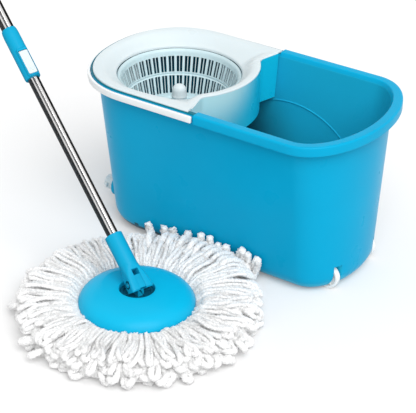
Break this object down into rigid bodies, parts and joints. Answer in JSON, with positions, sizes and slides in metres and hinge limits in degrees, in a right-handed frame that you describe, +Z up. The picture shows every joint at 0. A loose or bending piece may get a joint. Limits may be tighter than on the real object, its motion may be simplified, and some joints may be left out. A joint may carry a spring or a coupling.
{
  "type": "spin mop with bucket",
  "caption": "Oval wheeled mop bucket with a lift-out spin-dry basket, drain and bail, beside a round microfibre mop with a tilting, push-to-spin telescopic handle.",
  "frame": {"origin": "centre of the bucket's flat underside, on the floor", "axes": "+Z up; +X along the bucket's long axis, from the spin basket's end towards the wheels' end; the mop stands on the -Y side"},
  "size_m": [0.9769, 0.5776, 0.7009],
  "materials": {
    "bucket_blue": "satin moulded polypropylene",
    "head_blue": "satin moulded polypropylene",
    "white_plastic": "satin moulded polypropylene",
    "grey_plastic": "matte acetal",
    "steel": "polished stainless steel",
    "rubber": "matte",
    "microfibre": "looped microfibre chenille"
  },
  "bodies": {
    "bucket": {"bucket_shell": "bucket_blue", "axle_front": "steel", "axle_rear": "steel", "drain_spout": "white_plastic", "drain_gasket": "rubber", "drain_nut": "white_plastic"},
    "wheel_front": {"wheel_front": "white_plastic"},
    "wheel_rear": {"wheel_rear": "white_plastic"},
    "bail": {"bail": "white_plastic"},
    "drain_cap": {"drain_cap": "white_plastic"},
    "tray": {"spinner_tray": "white_plastic", "carrier_cross": "white_plastic", "spindle": "steel", "thrust_washer": "grey_plastic", "spindle_clip": "steel"},
    "basket": {"basket": "white_plastic", "hub_bush": "grey_plastic", "hub_cap": "white_plastic"},
    "swivel": {"swivel_base": "head_blue"},
    "disc": {"mop_disc": "head_blue", "retainer_plate": "grey_plastic", "retainer_screw_1": "steel", "retainer_screw_2": "steel", "retainer_screw_3": "steel", "refill_ring": "white_plastic", "refill_strands": "microfibre"},
    "handle": {"swivel_pin": "steel", "fork_socket": "head_blue", "socket_screw": "steel", "lower_tube": "steel"},
    "bearing": {"bearing_bush": "grey_plastic", "bush_cap": "grey_plastic"},
    "upper": {"upper_tube": "steel", "lock_sleeve": "head_blue", "clamp_collet": "grey_plastic", "lever_pin": "steel", "rod_anchor": "grey_plastic", "anchor_pin": "steel", "twisted_rod": "steel", "top_grip": "head_blue", "end_cap": "head_blue"},
    "drive_nut": {"drive_nut": "white_plastic"},
    "lever": {"lock_lever": "white_plastic"}
  },
  "joints": [
    {"name": "wheel_front_spin", "type": "hinge", "parent": "bucket", "child": "wheel_front", "pos_m": [0.185, -0.052, 0.018], "axis": [0, 1, 0], "continuous": true},
    {"name": "wheel_rear_spin", "type": "hinge", "parent": "bucket", "child": "wheel_rear", "pos_m": [0.185, 0.052, 0.018], "axis": [0, 1, 0], "continuous": true},
    {"name": "bail_swing", "type": "hinge", "parent": "bucket", "child": "bail", "pos_m": [-0.016, 0, 0.2412], "axis": [0, 1, 0], "range_deg": [0, 112]},
    {"name": "drain_cap_pull", "type": "slide", "parent": "bucket", "child": "drain_cap", "axis": [-1, 0, 0], "range_m": [0, 0.03]},
    {"name": "tray_lift", "type": "slide", "parent": "bucket", "child": "tray", "axis": [0, 0, 1], "range_m": [0, 0.15]},
    {"name": "basket_spin", "type": "hinge", "parent": "tray", "child": "basket", "pos_m": [-0.107, 0, 0.16], "axis": [0, 0, 1], "continuous": true},
    {"name": "mop_lift", "type": "slide", "parent": "bucket", "child": "swivel", "axis": [0, -0.6, 0.8], "range_m": [0, 0.3]},
    {"name": "head_spin", "type": "hinge", "parent": "swivel", "child": "disc", "pos_m": [0.0146, -0.2756, 0.042], "axis": [0, 0, 1], "continuous": true},
    {"name": "handle_tilt", "type": "hinge", "parent": "swivel", "child": "handle", "pos_m": [0.0146, -0.2756, 0.06], "axis": [0.342, 0.9397, 0], "range_deg": [-22, 125]},
    {"name": "handle_spin", "type": "hinge", "parent": "handle", "child": "bearing", "pos_m": [0.0146, -0.2756, 0.06], "axis": [-0.7364, 0.268, 0.6211], "continuous": true},
    {"name": "push_stroke", "type": "slide", "parent": "bearing", "child": "upper", "axis": [-0.7364, 0.268, 0.6211], "range_m": [-0.24, 0.19]},
    {"name": "nut_turn", "type": "hinge", "parent": "bearing", "child": "drive_nut", "pos_m": [0.0146, -0.2756, 0.06], "axis": [-0.7364, 0.268, 0.6211], "continuous": true},
    {"name": "lever_flip", "type": "hinge", "parent": "upper", "child": "lever", "pos_m": [-0.24851, -0.18157, 0.29623], "axis": [-0.4199, -0.901, -0.1091], "range_deg": [0, 85]}
  ],
  "couplings": [
    {"joint": "nut_turn", "follows": "push_stroke", "rad_per_m": -48.332}
  ]
}
